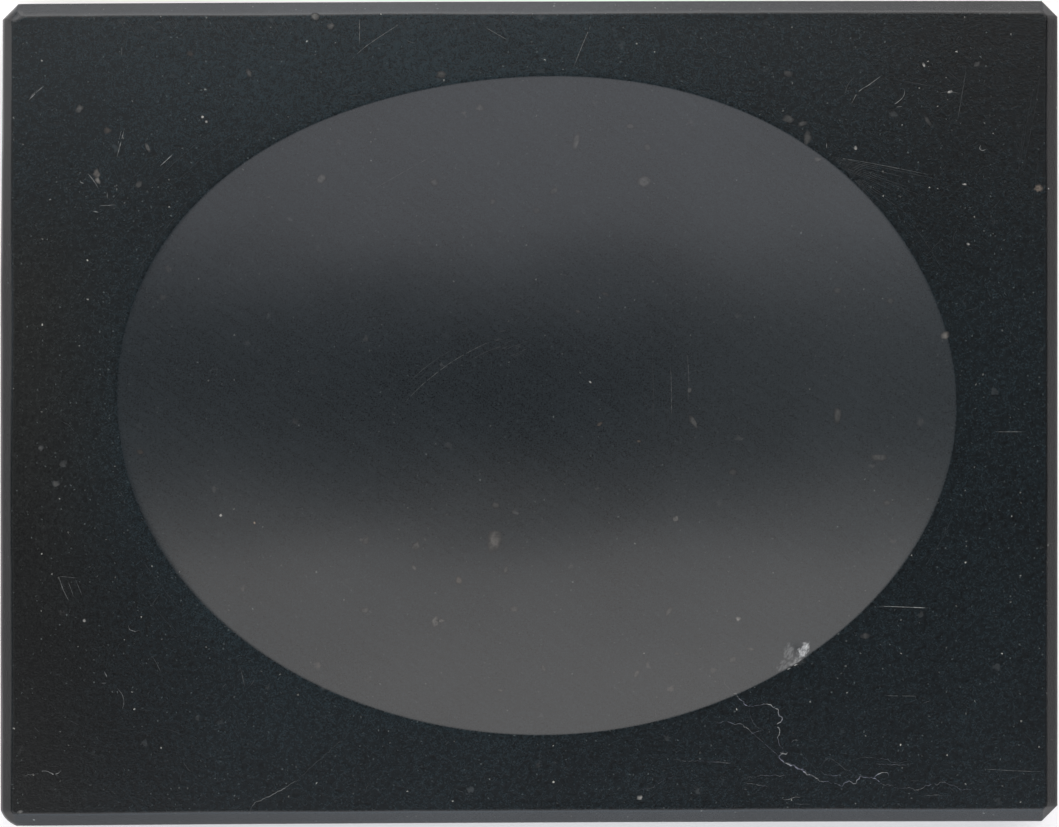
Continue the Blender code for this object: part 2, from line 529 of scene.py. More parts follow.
# The dish's arris was struck once, which left a crushed white bruise in the wall at its right front.
bruise = patch(28.5, -24.6, 1.1, 0.55, 60, 0.80)
bruise = basalt.maths("MAXIMUM", bruise, patch(27.1, -24.8, 1.1, 0.6, 75, 0.17))
bruise = basalt.maths("MAXIMUM", bruise, patch(27.6, -25.8, 1.2, 0.4, 30, 0.26))
bruise = basalt.maths("MAXIMUM", bruise, patch(26.3, -26.3, 0.9, 0.6, 20, 0.13))
bruise = bruise * basalt.step(basalt.grain(2.2, 4.0, 0.7, basalt.turned(-60, (1.0, 2.4, 1.0))), 0.28, 0.68)
bruise = bruise * dish_mask

# Three kinds of grain: small white ones, finer dust between them, and broad milky ones. The dish shows fewer.
white, white_tint = grains(0.95, 0.11, 0.24, 3.0, fine_ragged)
dust, dust_tint = grains(0.50, 0.10, 0.50, 17.0, fine_ragged)
milky, milky_tint = grains(2.6, 0.42, 0.40, 11.0, broad_ragged)
milky_colour = basalt.colour(milky_tint, (0.26, 0.29, 0.30, 1), (0.34, 0.28, 0.24, 1))
painted = basalt.colour(milky * (0.09 + coarse * 0.25), ground, milky_colour)
dust_colour = basalt.colour(dust_tint, (0.34, 0.42, 0.42, 1), (0.40, 0.38, 0.33, 1))
painted = basalt.colour(dust * (0.20 - dish_mask * 0.11), painted, dust_colour)
white_colour = basalt.colour(white_tint, (0.58, 0.66, 0.65, 1), (0.60, 0.60, 0.54, 1))
painted = basalt.colour(white * 0.75 * (1 - dish_mask * 0.75), painted, white_colour)
painted = basalt.colour(bruise, painted, BRUISE_COLOUR)
basalt.paint("Base Color", painted)
rough = POLISH_ROUGHNESS + dish_mask * 0.02 + fine * 0.10 + side_mask * 0.17 + bruise * 0.4
basalt.paint("Roughness", rough)
basalt.raise_by(fine * (0.012 - dish_mask * 0.009) + coarse * (0.008 - dish_mask * 0.006))
slab.data.materials.append(basalt.material)
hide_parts("stone_slab")
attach(slab, "root")


# Pale inclusions. Lumps of feldspar and other pale minerals froze into the basalt, and grinding cut them
# flush with its top. Each is given here by its place, its half length and half width, its turn, how pale it
# is and, if it isn't plain grey, how warm its colour is.
ROOT = 0.05
INCLUSION_RISE = 0.004
INCLUSION_RADII = (0, 0.45, 0.8, 1)
INCLUSION_SIDES = 18
INCLUSION_STRENGTH = 0.66
EDGE_FADE = 0.95
PLAIN_WARMTH = 0.25
LUMP_GROUND = (0.0090, 0.0115, 0.0135, 1)
GREY_FELDSPAR = (0.42, 0.45, 0.44, 1)
WARM_FELDSPAR = (0.46, 0.37, 0.29, 1)
INCLUSIONS = (
    (-3.6, -13.3, 1.25, 0.72, 75, 0.19, 0.4), (4.9, 28.3, 0.95, 0.35, 80, 0.14),
    (12.0, 24.2, 0.75, 0.6, 20, 0.17), (-5.1, 31.8, 0.5, 0.4, 0, 0.12), (-21.6, 24.4, 0.6, 0.45, 40, 0.15),
    (-9.9, 24.1, 0.45, 0.4, 0, 0.10), (2.6, 23.2, 0.5, 0.35, 30, 0.09), (0.8, 21.2, 0.4, 0.35, 0, 0.07),
    (-3.8, 22.1, 0.4, 0.3, 60, 0.08), (12.3, 27.7, 0.4, 0.4, 0, 0.09), (10.5, 29.9, 0.45, 0.3, 10, 0.09),
    (-11.8, -13.8, 0.5, 0.4, 50, 0.14), (-12.0, -16.1, 0.35, 0.2, 140, 0.14),
    (-17.0, -13.3, 0.5, 0.35, 50, 0.08), (-3.5, -9.6, 0.45, 0.35, 0, 0.08),
    (17.2, -0.9, 0.8, 0.3, 125, 0.16), (21.3, -6.1, 0.45, 0.35, 0, 0.07), (15.3, -11.0, 0.32, 0.3, 0, 0.30),
    (-9.8, -21.7, 0.4, 0.6, 0, 0.22), (-9.2, -21.6, 0.5, 0.2, 0, 0.22), (-17.1, -20.5, 0.45, 0.35, 0, 0.10),
    (-7.3, -17.4, 0.35, 0.45, 0, 0.15, 0.7), (-2.4, -16.3, 0.25, 0.45, -20, 0.09),
    (-1.6, -20.4, 0.5, 0.35, 0, 0.11), (14.6, -20.6, 0.3, 0.6, -40, 0.12),
    (11.2, -27.1, 0.25, 0.45, -30, 0.16), (1.5, -26.5, 0.2, 0.4, 30, 0.14),
    (21.8, -21.4, 0.30, 0.28, 0, 0.50), (15.4, -25.0, 0.35, 0.2, 0, 0.08),
    (-3.0, -28.8, 0.3, 0.15, -20, 0.14), (21.2, -25.6, 0.4, 0.3, 20, 0.16),
    (23.0, -24.5, 0.45, 0.2, 0, 0.14), (32.2, -0.2, 0.9, 0.45, 85, 0.13), (36.4, -4.6, 0.85, 0.4, 5, 0.13),
    (37.2, -9.3, 0.4, 0.35, 0, 0.08), (32.1, 12.8, 0.45, 0.35, 0, 0.08), (37.6, 11.7, 0.4, 0.35, 0, 0.08),
    (43.2, 8.1, 0.5, 0.45, 30, 0.30, 0.5), (28.9, 28.6, 0.75, 0.4, 70, 0.14),
    (28.4, 30.1, 0.5, 0.25, 10, 0.14), (26.9, 30.6, 0.6, 0.4, 0, 0.14), (30.0, 26.4, 0.4, 0.25, 0, 0.14),
    (26.9, 35.3, 0.5, 0.35, 0, 0.10), (46.5, 36.3, 0.3, 0.35, -30, 0.13), (41.4, 30.4, 0.2, 0.55, 35, 0.13),
    (-22.2, 41.2, 0.45, 0.4, 0, 0.34), (-20.6, 40.2, 0.4, 0.35, 0, 0.30), (-9.1, 35.2, 0.5, 0.4, 0, 0.16),
    (-29.1, 35.4, 0.5, 0.25, 110, 0.20), (-35.2, 37.4, 0.35, 0.3, 0, 0.10, 1.0),
    (-44.9, 24.9, 0.5, 0.4, 100, 0.30, 0.5), (-44.8, 24.2, 0.25, 0.4, 20, 0.45, 0.4),
    (-46.7, 31.6, 0.45, 0.35, 30, 0.24), (-43.8, 29.4, 0.4, 0.35, 0, 0.14, 0.9),
    (-40.5, 23.8, 0.4, 0.3, 60, 0.18), (-39.6, 27.6, 0.2, 0.5, 30, 0.24), (-50.7, -3.6, 0.3, 0.3, 0, 0.20),
    (-49.1, -7.3, 0.4, 0.35, 0, 0.20), (52.9, 23.4, 0.50, 0.42, 0, 0.50, 0.9),
    (33.9, 27.6, 0.18, 0.25, 0, 1.0), (43.7, 33.4, 0.30, 0.15, 20, 1.0), (41.0, 36.2, 0.15, 0.25, 30, 0.9),
    (45.6, 17.6, 0.18, 0.15, 0, 0.9), (45.2, 23.8, 0.25, 0.12, 0, 0.8), (34.9, -23.1, 0.5, 0.35, 0, 0.10),
    (11.5, -39.9, 0.32, 0.28, 0, 0.85), (-52.9, -41.4, 0.4, 0.2, 20, 0.35),
    (-33.9, 30.8, 0.15, 0.15, 0, 1.3), (-33.5, 30.3, 0.15, 0.15, 0, 1.2), (-46.2, -21.5, 0.18, 0.2, 0, 0.9),
    (-32.1, -10.6, 0.16, 0.16, 0, 1.2), (-28.6, -11.4, 0.12, 0.14, 0, 0.9, 2.0),
    (-40.4, -4.0, 0.4, 0.3, 0, 0.08, 1.0), (7.4, -1.1, 0.4, 0.2, 30, 0.16, 1.0),
    (11.5, -2.9, 0.25, 0.15, 0, 0.20, 1.0), (8.0, 12.5, 0.45, 0.2, -20, 0.14),
    (6.4, 3.3, 0.2, 0.1, -45, 0.8), (16.8, 2.4, 0.25, 0.3, 0, 0.16), (5.1, 10.7, 0.3, 0.2, 0, 0.10),
)


def set_in_stone(shape, name):
    """Gives thin shapes laid on the stone's top their root in the stone, and makes them one piece."""
    bmesh.ops.recalc_face_normals(shape, faces=shape.faces)
    for face in shape.faces:
        if face.normal.z < 0:
            face.normal_flip()
    bmesh.ops.solidify(shape, geom=shape.faces[:], thickness=ROOT * MM)
    bmesh.ops.recalc_face_normals(shape, faces=shape.faces)
    return finished(shape, name)


lumps = bmesh.new()
lump_strength = lumps.verts.layers.float.new("strength")
lump_warmth = lumps.verts.layers.float.new("warmth")
for count, (x, y, length, width, angle, strength, *warmth) in enumerate(INCLUSIONS):
    rings = len(INCLUSION_RADII) - 1
    lump = bmesh.ops.create_grid(lumps, x_segments=rings, y_segments=INCLUSION_SIDES, size=1)
    for vertex in lump["verts"]:
        radius = INCLUSION_RADII[round((vertex.co.x + 1) / 2 * rings)]
        turn = math.pi * (1 + vertex.co.y)
        along = radius * math.cos(turn)
        aside = radius * math.sin(turn)
        uneven = 1 + 0.40 * noise.noise(Vector((along * 1.1, aside * 1.1, 5.0 * count)))
        uneven += 0.30 * noise.noise(Vector((along * 2.6, aside * 2.6, 5.0 * count + 2.0)))
        offset = Matrix.Rotation(math.radians(angle), 2) @ Vector((along * length, aside * width))
        here = Vector((x, y)) + offset * uneven
        vertex.co = Vector((here.x, here.y, top_height(here.x, here.y) + INCLUSION_RISE)) * MM
        faded = 1 - EDGE_FADE * smooth(radius, 0.50, 1.0)
        vertex[lump_strength] = INCLUSION_STRENGTH * strength * faded
        vertex[lump_warmth] = warmth[0] if warmth else PLAIN_WARMTH
bmesh.ops.remove_doubles(lumps, verts=lumps.verts, dist=0.0005 * MM)
inclusions = set_in_stone(lumps, "pale_inclusions")

feldspar = Finish("feldspar", 0.21)
mottle = feldspar.grain(2.2, 3.0, 0.65) - 0.5
pale_mineral = feldspar.colour(feldspar.attribute("warmth"), GREY_FELDSPAR, WARM_FELDSPAR)
shown = feldspar.maths("MAXIMUM", feldspar.attribute("strength") * (0.9 + mottle * 3.0), 0.0)
feldspar.paint("Base Color", feldspar.colour(shown, LUMP_GROUND, pale_mineral))
feldspar.paint("Roughness", 0.21 + mottle * 0.08)
inclusions.data.materials.append(feldspar.material)
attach(inclusions, "root")


# The calcite vein. A crack in the basalt healed with white calcite, and it shows as a crooked hairline with
# side branches that runs from the front right corner to the rim and fades out in the dish. Each stretch of it
# is given by its points, its width, how far it strays from the points, and how white it is.
HAIR_RISE = 0.010
HAIR_STEP = 0.13
HAIR_GROUND = (0.008, 0.011, 0.014, 1)
WHITE_CALCITE = (0.56, 0.58, 0.57, 1)
LILAC_CALCITE = (0.36, 0.38, 0.50, 1)

# The whole vein is laid at these shares of the widths, crooks and strengths in its list.
VEIN_WIDTH = 0.80
VEIN_CROOK = 1.2
VEIN_STRENGTH = 0.70


def hairline(shape, strength_layer, points, width, crook, strength):
    """Lays a crooked strip along the points on the stone's top, narrowing at both ends. Crook is how far it
    strays from the points. Its strength is kept at its vertices, and fades a little towards the ends."""
    knots = [Vector(point) for point in (points[0], *points, points[-1])]
    path = []
    for before, first, last, after in zip(knots, knots[1:], knots[2:], knots[3:]):
        pieces = max(1, round((last - first).length / HAIR_STEP))
        leaving = first + (last - before) / 6
        arriving = last - (after - first) / 6
        path += interpolate_bezier(first, leaving, arriving, last, pieces + 1)[:-1]
    path.append(knots[-1])
    strip = bmesh.ops.create_grid(shape, x_segments=len(path) - 1, y_segments=1, size=1)
    for vertex in strip["verts"]:
        here = round((vertex.co.x + 1) / 2 * (len(path) - 1))
        side = 1 if vertex.co.y > 0 else -1
        x, y = path[here]
        along = (path[min(here + 1, len(path) - 1)] - path[max(here - 1, 0)]).normalized()
        aside = Vector((-along.y, along.x))
        stray = crook * ripple(x, y, 0.7, 21.0)
        stray += 0.9 * crook * ripple(x, y, 0.22, 27.0)
        swell = 0.85 + 0.8 * ripple(x, y, 0.4, 33.0)
        ends = min(1.0, 0.15 + 3.4 * min(here, len(path) - 1 - here) / len(path))
        place = path[here] + aside * (stray + side * width / 2 * swell * ends)
        dip = 0.04 * max(0.0, ripple(x, y, 0.8, 47.0) - 0.15)
        vertex.co = Vector((place.x, place.y, top_height(place.x, place.y) + HAIR_RISE - dip)) * MM
        vertex[strength_layer] = strength * (0.4 + 0.6 * ends)


vein = bmesh.new()
vein_strength = vein.verts.layers.float.new("strength")
VEINS = (
    (((19.7, -26.2), (20.4, -28.1), (21.2, -29.0)), 0.05, 0.10, 0.16),
    (((21.2, -29.0), (21.6, -29.3), (22.4, -30.2), (23.0, -30.4)), 0.09, 0.10, 0.85),
    (((22.9, -30.4), (23.8, -30.3), (24.5, -30.2), (25.1, -30.3), (25.4, -30.6), (25.9, -30.8),
      (25.9, -31.3), (26.3, -31.7), (25.7, -32.4), (25.9, -32.7), (26.1, -33.1), (25.8, -33.8),
      (26.1, -34.4), (26.5, -34.9)), 0.09, 0.12, 0.75),
    (((26.4, -34.8), (26.3, -35.3), (26.0, -35.6), (26.3, -35.9), (26.8, -36.4), (27.5, -36.6), (28.2, -37.0),
      (29.0, -37.4), (29.7, -37.7), (30.2, -38.1), (31.1, -38.3)), 0.15, 0.14, 1.0),
    (((30.9, -38.2), (32.3, -38.6), (33.0, -38.2), (33.9, -38.4), (34.3, -37.8), (35.1, -37.8), (35.9, -37.9),
      (36.6, -38.5), (37.7, -38.6)), 0.10, 0.14, 0.65),
    (((37.5, -38.6), (38.5, -38.9), (39.6, -38.9), (40.3, -39.1), (41.5, -38.6), (42.5, -38.4), (43.5, -38.4),
      (44.8, -39.0), (46.6, -39.0)), 0.07, 0.14, 0.32),
    (((35.8, -37.9), (36.3, -37.4), (37.2, -37.3), (37.3, -37.7)), 0.10, 0.05, 0.9),
    (((26.6, -36.1), (27.3, -36.5), (28.0, -36.8), (28.9, -37.2)), 0.06, 0.12, 0.8),
    (((26.0, -35.2), (26.6, -35.4), (26.9, -35.2)), 0.08, 0.05, 0.7),
    (((19.2, -32.0), (19.8, -32.1), (20.4, -31.9), (21.2, -32.2), (22.1, -32.3), (22.8, -32.8), (23.3, -33.2),
      (23.9, -33.0), (24.9, -33.2)), 0.08, 0.12, 0.42),
    (((22.9, -30.5), (23.0, -31.6), (23.6, -32.4), (24.7, -33.1), (25.2, -33.3)), 0.05, 0.10, 0.20),
    (((23.2, -33.2), (24.6, -34.4), (26.2, -35.8)), 0.06, 0.04, 0.28),
    (((14.9, -35.9), (16.5, -36.1), (18.4, -36.1)), 0.05, 0.08, 0.20),
    (((18.4, -36.2), (19.6, -36.2), (21.0, -36.3)), 0.07, 0.05, 0.42),
    (((10.9, -39.1), (12.8, -38.9), (13.5, -38.3), (15.4, -37.6)), 0.06, 0.10, 0.25),
    (((22.0, -37.9), (23.5, -37.7), (24.7, -37.6), (26.5, -37.6), (27.7, -37.3)), 0.06, 0.12, 0.25),
    (((22.3, -38.3), (23.9, -38.6), (24.9, -38.8)), 0.07, 0.10, 0.32),
    (((26.3, -40.1), (27.1, -40.0), (28.2, -39.8)), 0.07, 0.08, 0.42),
    (((30.2, -37.0), (30.6, -37.4), (31.5, -37.6), (32.3, -37.5), (32.7, -37.1)), 0.06, 0.08, 0.36),
    (((30.3, -36.9), (30.8, -36.0), (31.6, -35.9), (32.5, -36.7), (33.7, -37.4), (34.4, -37.8)),
     0.05, 0.12, 0.18),
    (((28.2, -35.2), (29.0, -36.2), (29.9, -37.0)), 0.05, 0.10, 0.12),
    (((27.2, -34.2), (27.5, -33.9), (28.2, -34.0)), 0.07, 0.05, 0.35),
    (((33.6, -36.0), (34.8, -35.7), (36.7, -35.9), (38.5, -36.3), (39.8, -35.9)), 0.05, 0.12, 0.19),
    (((35.9, -36.4), (38.5, -36.5), (39.6, -36.5)), 0.06, 0.08, 0.24),
    (((27.5, -40.5), (29.2, -40.6)), 0.05, 0.06, 0.20),
    (((41.0, -39.6), (43.0, -39.7)), 0.06, 0.08, 0.22),
    (((13.1, -30.6), (13.2, -31.6)), 0.05, 0.03, 0.24),
)
for points, width, crook, strength in VEINS:
    hairline(vein, vein_strength, points, VEIN_WIDTH * width, VEIN_CROOK * crook, VEIN_STRENGTH * strength)
veins = set_in_stone(vein, "calcite_veins")

calcite = Finish("calcite", 0.40)
vein_depth = calcite.attribute("strength")
along_vein = calcite.step(calcite.grain(3.2, 3.0, 0.7), 0.36, 0.62, 0.12, 1.0)
lilac_share = calcite.step(calcite.grain(0.7, 1.0), 0.42, 0.60)
crystal = calcite.colour(lilac_share, WHITE_CALCITE, LILAC_CALCITE)
calcite.paint("Base Color", calcite.colour(vein_depth * along_vein, HAIR_GROUND, crystal))
calcite.paint("Roughness", 0.20 + vein_depth * 0.35)
veins.data.materials.append(calcite.material)
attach(veins, "root")


# Scratches. Use has left fine scratches in the polish, most of them on the land. Crushed stone in each makes
# it paler than the polish round it. The plain ones are given by their points, width, crook and strength.
CRUSHED_STONE = (0.46, 0.48, 0.46, 1)
SCRATCH_STRENGTH = 0.85
scratched = bmesh.new()
scratch_strength = scratched.verts.layers.float.new("strength")


def scratch(points, width, crook, strength):
    """Lays one scratch on the stone's top."""
    hairline(scratched, scratch_strength, points, width, crook, strength)


SCRATCHES = (
    (((36.3, -20.0), (39.1, -20.1), (41.7, -20.2)), 0.06, 0.0, 0.62),
    (((37.0, -29.3), (40.4, -29.35)), 0.05, 0.0, 0.26),
    (((47.0, -36.9), (50.5, -37.1), (53.4, -37.2)), 0.05, 0.0, 0.22),
    (((48.3, -1.9), (51.6, -1.9)), 0.06, 0.0, 0.35),
    (((-52.7, -37.6), (-51.5, -37.5), (-50.8, -37.3)), 0.05, 0.16, 0.22),
    (((-50.9, -37.4), (-50.4, -37.1), (-49.7, -37.3), (-49.2, -37.4), (-48.5, -37.1)), 0.08, 0.14, 0.48),
    (((-41.6, -22.0), (-41.5, -22.4), (-40.9, -22.6), (-40.5, -22.5)), 0.07, 0.03, 0.40),
    (((-44.1, -26.8), (-43.8, -27.4)), 0.08, 0.0, 0.60),
    (((-44.4, -28.0), (-43.9, -28.0)), 0.07, 0.0, 0.35),
    (((-42.8, -28.5), (-42.3, -29.1), (-42.1, -29.9), (-42.2, -30.8)), 0.07, 0.05, 0.20),
    (((-39.2, -25.1), (-38.7, -25.9), (-38.2, -26.9)), 0.05, 0.0, 0.13),
    (((-30.0, -26.3), (-29.5, -28.4)), 0.07, 0.0, 0.14),
    (((-29.0, -41.3), (-28.3, -40.4), (-26.1, -39.3), (-23.9, -38.0)), 0.07, 0.10, 0.28),
    (((-24.1, -38.1), (-21.5, -35.7), (-18.2, -32.9)), 0.05, 0.14, 0.07),
    (((-52.0, 32.5), (-51.2, 33.3), (-50.4, 34.0)), 0.08, 0.0, 0.55),
    (((-51.8, 32.9), (-50.9, 33.7)), 0.05, 0.0, 0.25),
    (((-42.0, 29.6), (-42.5, 27.7), (-42.8, 26.6)), 0.07, 0.0, 0.48),
    (((-42.3, 29.5), (-42.7, 27.9)), 0.05, 0.0, 0.25),
    (((-42.3, 38.1), (-42.3, 37.0)), 0.06, 0.0, 0.22),
    (((-38.3, 25.7), (-37.0, 26.9)), 0.08, 0.0, 0.48),
    (((-45.8, 24.9), (-45.3, 24.3), (-44.7, 23.4)), 0.08, 0.03, 0.35),
    (((-46.6, 24.0), (-46.2, 23.9)), 0.10, 0.0, 0.60),
    (((-43.8, 23.0), (-43.8, 22.3)), 0.07, 0.0, 0.40),
    (((-42.8, 23.8), (-42.8, 23.1)), 0.08, 0.0, 0.55),
    (((-44.6, 21.6), (-43.8, 21.6), (-43.0, 21.7)), 0.07, 0.02, 0.35),
    (((-45.3, 21.0), (-44.7, 20.9)), 0.08, 0.0, 0.45),
    (((-48.8, -17.0), (-48.4, -18.2), (-47.8, -19.4)), 0.07, 0.03, 0.36),
    (((-48.8, -16.9), (-46.8, -17.1)), 0.06, 0.02, 0.16),
    (((-47.9, -17.3), (-47.3, -19.0)), 0.06, 0.02, 0.16),
    (((-47.1, -17.2), (-46.4, -18.9)), 0.06, 0.02, 0.14),
    (((-17.6, 41.0), (-17.6, 38.3)), 0.06, 0.0, 0.30),
    (((-12.6, 41.0), (-16.7, 38.3), (-18.5, 36.7)), 0.06, 0.0, 0.26),
    (((6.5, 40.5), (5.6, 38.4), (4.6, 35.9)), 0.06, 0.0, 0.28),
    (((-4.7, 40.2), (-2.1, 38.7)), 0.06, 0.0, 0.25),
    (((31.2, 26.7), (36.0, 25.9), (41.6, 24.8)), 0.06, 0.0, 0.22),
    (((45.4, 35.8), (45.0, 33.4), (44.5, 30.4)), 0.05, 0.0, 0.13),
    (((53.2, 36.2), (52.4, 30.8), (51.2, 25.2)), 0.04, 0.0, 0.035),
    (((52.6, 34.9), (51.6, 29.6), (50.7, 24.2)), 0.04, 0.0, 0.03),
    (((51.5, 30.5), (51.0, 27.0), (50.6, 23.0)), 0.04, 0.0, 0.03),
    (((52.9, 27.0), (52.3, 21.0)), 0.04, 0.0, 0.025),
    (((38.4, 34.6), (41.8, 34.0)), 0.05, 0.0, 0.08),
    (((42.4, 33.2), (43.5, 33.4), (44.9, 33.2)), 0.05, 0.0, 0.15),
    (((38.0, 31.8), (38.8, 31.9)), 0.06, 0.0, 0.30),
    (((30.9, 28.1), (30.9, 27.5)), 0.08, 0.0, 0.45),
    (((46.9, 27.9), (46.8, 27.5), (47.1, 27.3), (47.5, 27.5)), 0.07, 0.0, 0.45),
    (((33.5, 32.2), (34.2, 33.4), (35.4, 34.2), (36.6, 35.1)), 0.07, 0.0, 0.50),
    (((39.0, 33.7), (38.95, 33.1), (38.6, 32.6), (37.8, 32.0)), 0.07, 0.0, 0.42),
    (((32.8, 33.2), (33.2, 34.3), (34.0, 35.1)), 0.06, 0.0, 0.12),
    (((-17.0, 22.9), (-13.0, 25.2), (-9.0, 27.4)), 0.05, 0.0, 0.13),
    (((-13.4, 0.7), (-11.6, 2.6), (-9.6, 4.3), (-7.6, 5.7), (-5.0, 7.1), (-2.6, 8.1)), 0.06, 0.0, 0.20),
    (((-12.6, 3.2), (-11.0, 4.7), (-9.2, 6.0), (-7.6, 6.9)), 0.05, 0.0, 0.13),
    (((-6.4, 5.4), (-4.6, 6.4), (-2.8, 7.1)), 0.05, 0.0, 0.13),
    (((-12.9, 2.0), (-11.6, 3.4), (-10.2, 4.7)), 0.05, 0.0, 0.05),
    (((14.8, 5.0), (14.9, 2.4), (14.9, -0.6)), 0.05, 0.0, 0.20),
    (((16.5, 6.6), (16.7, 4.0), (16.7, 1.0)), 0.05, 0.0, 0.18),
    (((12.9, 6.0), (13.0, 2.2), (12.9, -2.4)), 0.05, 0.0, 0.08),
    (((14.4, 1.8), (14.5, -1.6)), 0.05, 0.0, 0.05),
    (((26.8, -26.6), (27.2, -26.4)), 0.16, 0.02, 0.9),
    (((27.5, -26.2), (27.9, -26.0)), 0.14, 0.02, 0.8),
)
for points, width, crook, strength in SCRATCHES:
    scratch(points, width, crook, SCRATCH_STRENGTH * strength)

# A fan of fine marks spreads from one place on the rim, where grit was dragged outwards.
FAN_MARKS = 18
FAN_REACHES = (1.0, 0.5, 0.75, 0.35, 0.62, 0.85)
for count in range(FAN_MARKS):
    share = count / (FAN_MARKS - 1)
    start = Vector((31.2, 26.7)).lerp(Vector((33.8, 24.2)), share)
    end = Vector((42.6, 24.3)).lerp(Vector((37.4, 19.6)), share)
    reach = FAN_REACHES[count % len(FAN_REACHES)]
    sag = Vector((0, 0.02 * count))
    mark = [start.lerp(end, part * reach) + sag * (part - part * part) for part in (0.0, 0.5, 1.0)]
    scratch(mark, 0.04, 0.015, 0.09 - 0.003 * count)

# Long arcs run beside the rim where the grinding tool strayed on to the land. Each is given by the angles
# where it starts and ends, its distance from the dish's centre as a share of the rim's, and its strength.
for first, last, share, strength in (
    (121, 134, 1.05, 0.04), (128, 143, 1.09, 0.03), (131, 146, 1.13, 0.05), (139, 152, 1.18, 0.025),
    (104, 119, 1.08, 0.03), (143, 162, 1.03, 0.03), (22, 32, 1.05, 0.04),
    (-30, -18, 1.05, 0.03), (204, 219, 1.05, 0.03), (208, 221, 1.10, 0.025),
):
    arc = []
    for step in range(13):
        turn = math.radians(first + (last - first) * step / 12)
        x = DISH_X + share * DISH_HALF_LENGTH * math.cos(turn)
        y = DISH_Y + share * DISH_HALF_WIDTH * math.sin(turn)
        arc.append((x, y))
    scratch(arc, 0.05, 0.03, strength)

# Fine slanting marks along the back edge are left from the rubbing of its bevel.
chance = random.Random(12)
for count in range(150):
    start = Vector((-43 + 0.27 * count, 41.2 - 0.5 * chance.random()))
    end = start + (0.6 + 1.5 * chance.random()) * Vector((0.62, -1.0))
    if chance.random() < 0.75:
        scratch([start, end], 0.04, 0.0, 0.02 + 0.05 * chance.random())

# Polishing left faint swirls in the middle of the dish, each an arc of an oval round the middle.
for count in range(70):
    size = chance.uniform(0.12, 0.62)
    first = chance.uniform(0, 2 * math.pi)
    sweep = chance.uniform(0.15, 0.5)
    shift = chance.gauss(0, 0.7)
    swirl = []
    for step in range(5):
        turn = first + sweep * step / 4
        x = DISH_X + shift + size * DISH_HALF_LENGTH * math.cos(turn)
        y = DISH_Y + shift + 0.9 * size * DISH_HALF_WIDTH * math.sin(turn)
        swirl.append((x, y))
    scratch(swirl, 0.04, 0.02, chance.uniform(0.015, 0.050))

# A dull patch near the dish's middle is made of short rubbed lines.
for count in range(22):
    middle = Vector((chance.gauss(-1.9, 0.9), chance.gauss(7.3, 0.7)))
    half = (0.3 + 0.6 * chance.random()) * Vector((0.9, 0.35 + chance.gauss(0, 0.12)))
    scratch([middle - half, middle + half], 0.06, 0.03, 0.07)

# Short faint scratches lie all over the land, and fewer and fainter ones in the dish.
for count in range(260):
    middle = Vector((chance.uniform(-52, 52), chance.uniform(-40, 40)))
    _, share = dish_place(middle.x, middle.y)
    angle = math.radians(chance.choice((42, 48, 0, 88, 130, -30)) + chance.gauss(0, 14))
    half = min(1.5, 0.15 + chance.expovariate(2.4)) * Vector((math.cos(angle), math.sin(angle)))
    bow = chance.gauss(0, 0.10) * Vector((-half.y, half.x))
    strength = min(0.16, 0.02 + chance.expovariate(34))
    if share < 1.02:
        strength = 0.25 * strength
    scratch([middle - half, middle + bow, middle + half], 0.05, 0.04, strength)
scratches = set_in_stone(scratched, "hairline_scratches")

crushed = Finish("crushed_basalt", 0.45)
scratch_depth = crushed.attribute("strength")
broken = crushed.step(crushed.grain(2.2, 2.0, 0.6), 0.34, 0.60, 0.35, 1.0)
crushed.paint("Base Color", crushed.colour(scratch_depth * broken, HAIR_GROUND, CRUSHED_STONE))
crushed.paint("Roughness", 0.18 + scratch_depth * 0.55)
scratches.data.materials.append(crushed.material)
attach(scratches, "root")


# The floor is a plain pale sheet of paper that runs past every view. It lies a hair below the stone's
# underside, so that the two don't share a plane.
FLOOR_GAP = 0.05
FLOOR_REACH = 6
sheet = bmesh.new()
bmesh.ops.create_grid(sheet, x_segments=1, y_segments=1, size=FLOOR_REACH)
bmesh.ops.translate(sheet, vec=(0, 0, -FLOOR_GAP * MM), verts=sheet.verts)
floor = finished(sheet, "studio_floor")
paper = bpy.data.materials.new("pale_paper")
paper.use_nodes = True
paper_shader = paper.node_tree.nodes["Principled BSDF"]
paper_shader.inputs["Base Color"].default_value = (0.93, 0.93, 0.93, 1)
paper_shader.inputs["Roughness"].default_value = 0.9
paper_shader.inputs["Emission Color"].default_value = (1, 1, 1, 1)
paper_shader.inputs["Emission Strength"].default_value = 0.22
floor.data.materials.append(paper)


# Light. Two long soft panels lean together over the stone like a tent, one behind it and one in front, with a
# dark gap between them straight above, and dimmer panels close the ends. Places are in metres.
PANEL_LENGTH = 1.7
MIDDLE_LENGTH = 0.42
WARM_WHITE = (1.0, 0.945, 0.92)
PINK_WHITE = (0.97, 0.95, 1.0)
PURE_WHITE = (1.0, 1.0, 1.0)
COOL_WHITE = (0.95, 0.98, 1.0)
PALE_BLUE = (0.7, 0.92, 1.0)
DEEP_BLUE = (0.6, 0.85, 1.0)


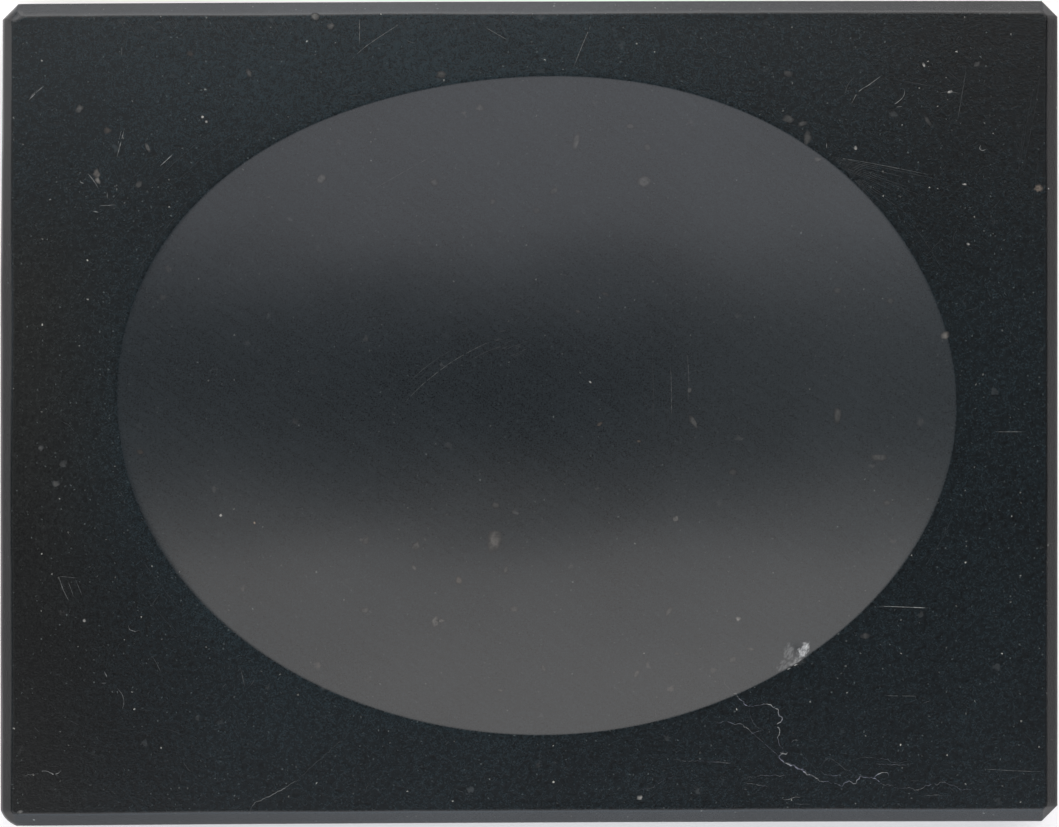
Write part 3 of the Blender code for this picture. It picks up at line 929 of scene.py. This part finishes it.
def panel(name, near_top, near_floor, length, brightness, colour):
    """A soft panel from a point near the top of the tent to one near the floor, as long as length and facing
    the stone. Brightness is how bright its face is, whatever its size."""
    top = Vector(near_top)
    bottom = Vector(near_floor)
    slope = bottom - top
    lamp = bpy.data.lights.new(name, "AREA")
    lamp.shape = "RECTANGLE"
    lamp.size = length
    lamp.size_y = slope.length
    lamp.energy = brightness * math.pi * length * slope.length
    lamp.color = colour
    made = bpy.data.objects.new(name, lamp)
    middle = (top + bottom) / 2
    along = Vector((0, 0, 1)).cross(slope).normalized()
    facing = along.cross(slope).normalized()
    if facing.dot(-middle) < 0:
        along = -along
        facing = -facing
    upright = (-facing).cross(along)
    turned = Matrix((along, upright, -facing)).transposed()
    made.matrix_world = Matrix.Translation(middle) @ turned.to_4x4()
    made.visible_camera = False
    bpy.context.scene.collection.objects.link(made)


# Each side of the tent has a faint strip beside the gap, a brighter strip next to it, the long slope down to
# the floor, and a shorter panel just over the slope that brightens its middle.
for side, name, gap, brightness, colour, slope_share, middle_share in (
    (1, "back", 0.115, 2.20, WARM_WHITE, 0.64, 0.34),
    (-1, "front", 0.13, 1.62, PINK_WHITE, 0.66, 0.34),
):
    for part, first, last, length, share in (
        ("fade", (gap, 0.993), (gap + 0.09, 0.978), PANEL_LENGTH, 0.28),
        ("edge", (gap + 0.09, 0.978), (0.32, 0.95), PANEL_LENGTH, 0.86),
        ("slope", (0.32, 0.95), (1.25, 0.03), PANEL_LENGTH, slope_share),
        ("middle", (0.33, 0.94), (1.0, 0.27), MIDDLE_LENGTH, middle_share),
    ):
        top = (0, side * first[0], first[1])
        bottom = (0, side * last[0], last[1])
        panel(name + "_panel_" + part, top, bottom, length, share * brightness, colour)
panel("back_panel_low", (0, 1.0, 0.27), (0, 1.25, 0.03), PANEL_LENGTH, 1.6, PURE_WHITE)
panel("front_panel_low", (0, -1.0, 0.27), (0, -1.25, 0.03), PANEL_LENGTH, 0.95, DEEP_BLUE)
panel("left_panel", (-0.5, 0, 0.87), (-1.25, 0, 0.03), 1.0, 0.20, PALE_BLUE)
panel("left_high_panel", (-0.13, 0.12, 0.985), (-0.5, 0.12, 0.87), 0.95, 0.34, COOL_WHITE)
panel("right_high_panel", (0.17, 0.08, 0.985), (0.5, 0.08, 0.87), 0.45, 0.13, COOL_WHITE)

room = bpy.data.worlds.new("studio")
room.use_nodes = True
room.node_tree.nodes["Background"].inputs["Color"].default_value = (0.90, 0.95, 1.0, 1)
room.node_tree.nodes["Background"].inputs["Strength"].default_value = 0.055
bpy.context.scene.world = room
bpy.context.scene.view_settings.view_transform = "Standard"


# The camera looks straight down on the stone from far enough away to show no side of it. Its frame is a hair
# wider than the stone, at the level of the bevel's foot.
FRAME_WIDTH = 0.1102
LENS = 200.0
SENSOR = 36.0
CAMERA_X = 0.00005
CAMERA_HEIGHT = (THICKNESS - BEVEL_WIDTH) * MM + FRAME_WIDTH * LENS / SENSOR
camera_data = bpy.data.cameras.new("camera")
camera_data.lens = LENS
camera_data.sensor_width = SENSOR
camera_data.sensor_fit = "HORIZONTAL"
camera = bpy.data.objects.new("camera", camera_data)
camera.location = (CAMERA_X, 0, CAMERA_HEIGHT)
bpy.context.scene.collection.objects.link(camera)
bpy.context.scene.camera = camera
